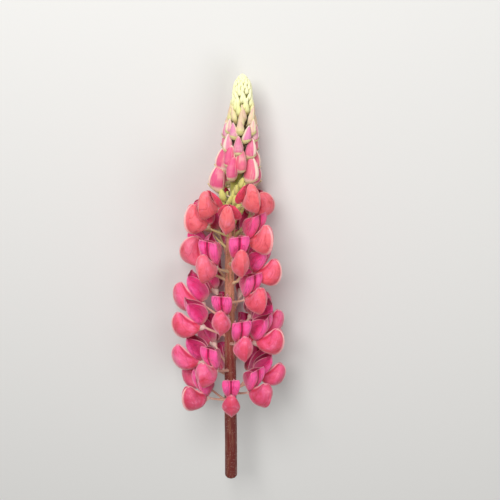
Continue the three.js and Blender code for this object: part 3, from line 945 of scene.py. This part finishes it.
class Bud:
    # A bud flattened from side to side, which bulges outward to the spire's outline
    def __init__(self, azimuth, root, base, tip, slim, fat=1.0):
        turn = math.radians(azimuth)
        self.lateral = Vector((math.cos(turn), math.sin(turn), 0))
        self.outward = self.lateral.cross(tip - base).normalized()
        self.root, self.base, self.tip, self.slim = root, base, tip, slim
        self.length = (tip - base).length * fat
        # only those at the sides of the spire show a pale keel, a painted sheen along their outline
        self.plain = budMargin["plain"] * (1 - ease(abs(self.lateral.y), *budMargin["sideways"]))

    def point(self, share, turn, swell=1.0):
        angle = 2 * math.pi * turn
        both = zip(through(plumpBud, share), through(slimBud, share))
        front, back, half = [mix(*pair, self.slim) for pair in both]
        if share > 0:
            centre = self.base.lerp(self.tip, share)
        else:
            centre = self.base.lerp(self.root, share / budRoot)
        push = math.cos(angle) * (front if math.cos(angle) > 0 else back)
        side = math.sin(angle) * half
        return centre + (self.outward * push - self.lateral * side) * self.length * swell

    def body(self, u, v):
        share = mix(budRoot, 1, u)
        across = min(v, 1 - v) * 2
        keel = 1 + 0.04 * hump(across, 0, 0.07) * ease(share, 0.1, 0.4)
        # the flank that faces the best side has no pale margin
        facing = ease(self.lateral.y * math.sin(2 * math.pi * v), *budMargin["facing"])
        across = min(max(across, self.plain), mix(1, budMargin["flank"], facing))
        return self.point(share, v, keel), max(share, 0), across

    def cup(self, u, v):
        # its calyx, with a longer lip outside and one inside
        lip = 0.12 + 0.13 * self.slim + 0.15 * math.cos(2 * math.pi * v) ** 2
        share = mix(-0.06, lip, u)
        return self.point(share, v, mix(1.5, 1.1, ease(u, 0, 0.4)) + 0.04 * u * u), u, 0


# Where a bud is widest, and how far it then reaches out, as shares of its length
widest = {"share": 0.3, "plump": 0.35, "slim": 0.26}


def spireBud(azimuth, gap, slim, stretch=1.0, fat=1.0, sway=0.0):
    # it stands so that its widest part reaches the spire's outline
    length = lengthAt(gap) * stretch
    tipGap = max(gap - length, 0.3)
    reach = mix(widest["plump"], widest["slim"], slim) * length
    out = max(envelopeAt(gap - widest["share"] * length) - reach, 0.2)
    base = pointAt(azimuth, out, plant["length"] - gap)
    tipOut = mix(0.72, 1, slim) * envelopeAt(tipGap) * min(tipGap / 3, 1)
    tip = pointAt(azimuth + sway, tipOut, plant["length"] - tipGap)
    root = pointAt(azimuth, coreAt(gap) * 0.5, plant["length"] - gap - 0.15 * length)
    return Bud(azimuth, root, base, tip, slim, fat)


def clusterBud(azimuth, gap, rng):
    height = plant["length"] - gap
    out = radiusAt(height) + rng.uniform(*cluster["out"])
    length = rng.uniform(*cluster["length"])
    root = pointAt(azimuth, 1.0, height - 2.5)
    base = pointAt(azimuth, out, height)
    sway = rng.uniform(*cluster["sway"])
    tip = pointAt(azimuth + sway, out + rng.uniform(*cluster["spread"]), height + length)
    return Bud(azimuth, root, base, tip, 0)


def coreShape(u, v):
    gap = mix(plant["length"] - plant["stemTop"], 1.5, u)
    first, dark, last, pale = spire["coreShade"]
    # painted shade on the core between the lower buds
    coreShade = ease(gap, first, dark) * (1 - ease(gap, last, pale))
    return pointAt(-360 * v, coreAt(gap), plant["length"] - gap), 0.1, coreShade


def addLowerBuds(bm, rng):
    made = []
    for azimuth, gap in spire["lower"]:
        made.append(spireBud(azimuth, gap, fade("slim", gap), sway=rng.uniform(-8, 8)))
    for bud, (azimuth, gap) in zip(made, spire["lower"]):
        tones = (fade("age", gap), rng.uniform(-1, 1))
        addGrid(bm, *budGrids["bud"], bud.body, tones, 0)
        addGrid(bm, *budGrids["cup"], bud.cup, tones, 1)
    return made


def addScales(bm, rng):
    gap = scales["from"]
    azimuth = 0
    count = 0
    while gap > scales["to"]:
        sway = rng.uniform(-1, 1) * fade("scaleSway", gap)
        fat, stretch = fade("scaleFat", gap), fade("scaleStretch", gap)
        scale = spireBud(azimuth, gap, 1, stretch, fat, sway)
        tones = (fade("scaleAge", gap), rng.uniform(-1, 1))
        addGrid(bm, *budGrids["scale"], scale.body, tones, 0)
        gap -= scales["crowd"] * lengthAt(gap) ** 2 / (2 * math.pi * envelopeAt(gap))
        azimuth += scales["turn"]
        count += 1
    return count


def addCluster(bm, rng):
    made = [clusterBud(*site, rng) for site in spire["cluster"]]
    for bud in made:
        addGrid(bm, *budGrids["small"], bud.body, (1, 0), 1)
        addGrid(bm, *budGrids["smallCup"], bud.cup, (0, 0), 1)
    return made


def makeBuds():
    rng = random.Random(7)
    bm = newMesh()
    addGrid(bm, *budGrids["core"], coreShape, (0.3, 0), 1)
    lowBuds = addLowerBuds(bm, rng)
    scaleCount = addScales(bm, rng)
    hairy = lowBuds + addCluster(bm, rng)
    finishPiece("buds", bm, (budSkin, cupSkin), ("bud_spire",), 0, 1)
    strands = []
    for bud in hairy:
        strands += hairsOn(bud.body, "bud", rng)
    bm = newMesh()
    addHairs(bm, strands)
    finishPiece("bud_hairs", bm, (hairSkin,))
    print("buds made:", len(lowBuds), "buds,", scaleCount, "scales")


makeBuds()


# Table and light

floorShades = {
    "pale": pigment(226, 225, 222),
    "grey": pigment(218, 217, 214),
}
floorSize = 4  # metres


def floorColours(wire):
    cloud = wire.noise(wire.place(), 3.0, 2.0)
    return {"Base Color": (cloud * 0.15).blend(floorShades["pale"], floorShades["grey"])}


def makeStage():
    bm = bmesh.new()
    bmesh.ops.create_grid(bm, x_segments=4, y_segments=4, size=floorSize)
    mesh = bpy.data.meshes.new("table")
    bm.to_mesh(mesh)
    bm.free()
    gloss = {"Roughness": 0.9, "Specular IOR Level": 0.2}
    mesh.materials.append(newSkin("table top", gloss, floorColours))
    table = bpy.data.objects.new("table", mesh)
    bpy.context.scene.collection.objects.link(table)


lamps = {
    "key": {"at": (-0.2, 0.8, 0.85), "size": 0.5, "power": 12},
    "fill": {"at": (0.5, 0.0, 1.0), "size": 0.7, "power": 2.8},
}
lampTarget = (0, 0.03, 0.03)
skyStrength = 0.26


def makeLight():
    for name, lamp in lamps.items():
        light = bpy.data.lights.new(name, "AREA")
        light.size = lamp["size"]
        light.energy = lamp["power"]
        holder = bpy.data.objects.new(name, light)
        holder.location = lamp["at"]
        aim = Vector(lampTarget) - holder.location
        holder.rotation_euler = aim.to_track_quat("-Z", "Y").to_euler()
        bpy.context.scene.collection.objects.link(holder)
    world = bpy.data.worlds.new("studio")
    world.use_nodes = True
    sky = world.node_tree.nodes["Background"]
    sky.inputs["Color"].default_value = (1, 1, 1, 1)
    sky.inputs["Strength"].default_value = skyStrength
    bpy.context.scene.world = world
    bpy.context.scene.view_settings.view_transform = "Standard"


makeStage()
makeLight()
